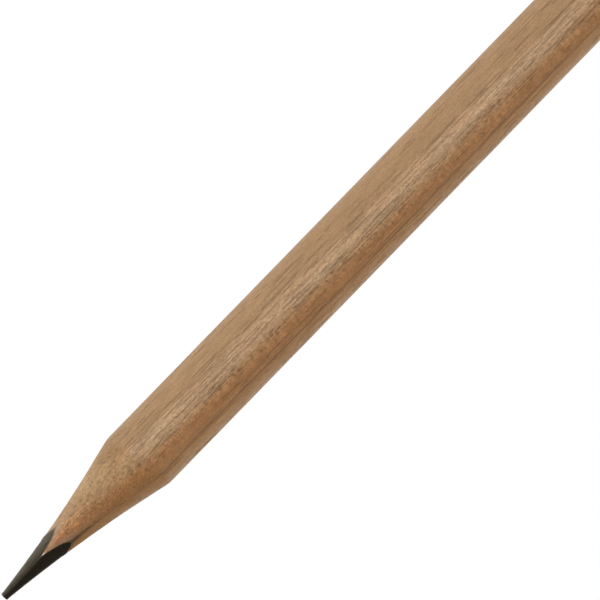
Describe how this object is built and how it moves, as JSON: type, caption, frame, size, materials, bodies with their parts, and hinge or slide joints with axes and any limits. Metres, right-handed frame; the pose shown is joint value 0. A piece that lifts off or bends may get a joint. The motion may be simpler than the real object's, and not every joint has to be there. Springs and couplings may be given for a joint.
{
  "type": "graphite pencil",
  "caption": "Round natural-wood pencil: two glued grooved slats around a round graphite core, ground to a slim point with four flattened sides near the tip.",
  "frame": {"origin": "centre of the flat rear end that the pencil stands on", "axes": "+Z along the barrel from the rear end to the point; the glued seam is parallel to the XZ plane, 0.22 mm towards +Y, with the front slat towards -Y"},
  "size_m": [0.0074, 0.0074, 0.175],
  "materials": {
    "front_slat_wood": "bare, fine-sanded open-pored hardwood with long dark pores and orange flecked streaks",
    "back_slat_wood": "bare, fine-sanded open-pored hardwood, plainer and browner",
    "graphite": "fired graphite and clay, semi-gloss where ground",
    "glue": "cured wood glue, darkened by handling"
  },
  "bodies": {
    "root": {"front_slat": "front_slat_wood", "back_slat": "back_slat_wood", "graphite_core": "graphite", "left_seam_glue": "glue", "right_seam_glue": "glue", "front_core_glue": "glue", "back_core_glue": "glue"}
  },
  "joints": []
}
